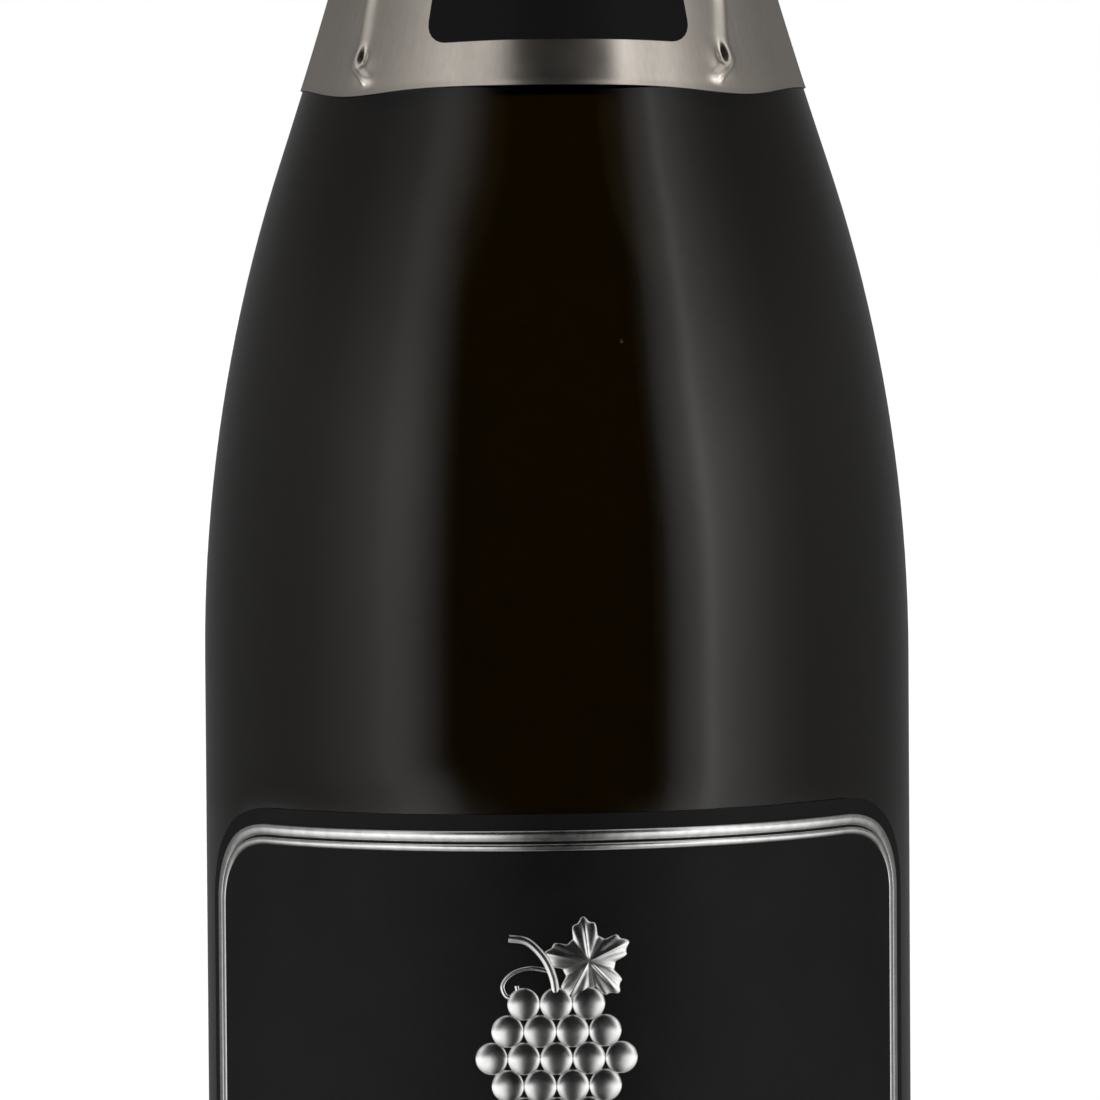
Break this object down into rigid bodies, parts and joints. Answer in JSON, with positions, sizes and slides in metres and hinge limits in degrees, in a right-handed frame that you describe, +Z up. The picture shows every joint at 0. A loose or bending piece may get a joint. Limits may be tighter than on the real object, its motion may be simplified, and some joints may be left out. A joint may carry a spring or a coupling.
{
  "type": "champagne bottle",
  "caption": "Closed dark glass champagne bottle with deep punt, sloping shoulder, cork, wire cage, pleated foil capsule with tear strip, and a black label with a raised silver border.",
  "frame": {"origin": "middle of the standing ring, on the surface that the bottle stands on", "axes": "+Z up along the bottle's axis, -Y towards the front, where the label is, +X to the right seen from the front"},
  "size_m": [0.0886, 0.0895, 0.3225],
  "materials": {
    "dark_glass": "glossy, nearly black brown glass",
    "capsule_foil": "satin warm grey foil",
    "panel_lacquer": "black lacquer on foil",
    "label_paper": "matt black coated paper",
    "border_silver": "bright embossed silver foil",
    "cork_grain": "agglomerated cork grain",
    "cork_natural": "natural cork with pores",
    "plate_tin": "lacquered tinplate",
    "cage_steel": "bright galvanised steel wire"
  },
  "bodies": {
    "bottle": {"glass_bottle": "dark_glass", "foil_skirt": "capsule_foil", "capsule_panel": "panel_lacquer", "tear_strip": "capsule_foil", "front_label": "label_paper", "label_border_outer": "border_silver", "label_border_inner": "border_silver"},
    "tab": {"tear_tab": "capsule_foil"},
    "cork": {"cork_body": "cork_grain", "cork_disc_upper": "cork_natural", "cork_disc_lower": "cork_natural"},
    "cage": {"cage_plate": "plate_tin", "cage_wire": "cage_steel", "belt_wire": "cage_steel"},
    "eyelet": {"eyelet_loop": "cage_steel"},
    "hood": {"foil_hood": "capsule_foil", "hood_disc": "capsule_foil"}
  },
  "joints": [
    {"name": "cork_pull", "type": "slide", "parent": "bottle", "child": "cork", "axis": [0, 0, 1], "range_m": [0, 0.05]},
    {"name": "cage_lift", "type": "slide", "parent": "cork", "child": "cage", "axis": [0, 0, 1], "range_m": [0, 0.06], "deforming": ["cage_wire", "belt_wire"]},
    {"name": "hood_lift", "type": "slide", "parent": "cage", "child": "hood", "axis": [0, 0, 1], "range_m": [0, 0.15]},
    {"name": "eyelet_fold", "type": "hinge", "parent": "cage", "child": "eyelet", "pos_m": [0.0177, 0, 0.2789], "axis": [0, 1, 0], "range_deg": [0, 90]},
    {"name": "tab_lift", "type": "hinge", "parent": "bottle", "child": "tab", "pos_m": [-0.0132, -0.0129, 0.2734], "axis": [-0.3654, -0.3573, 0.8595], "range_deg": [0, 110]}
  ],
  "couplings": [
    {"joint": "eyelet_fold", "follows": "hood_lift", "rad_per_m": 10.472}
  ]
}
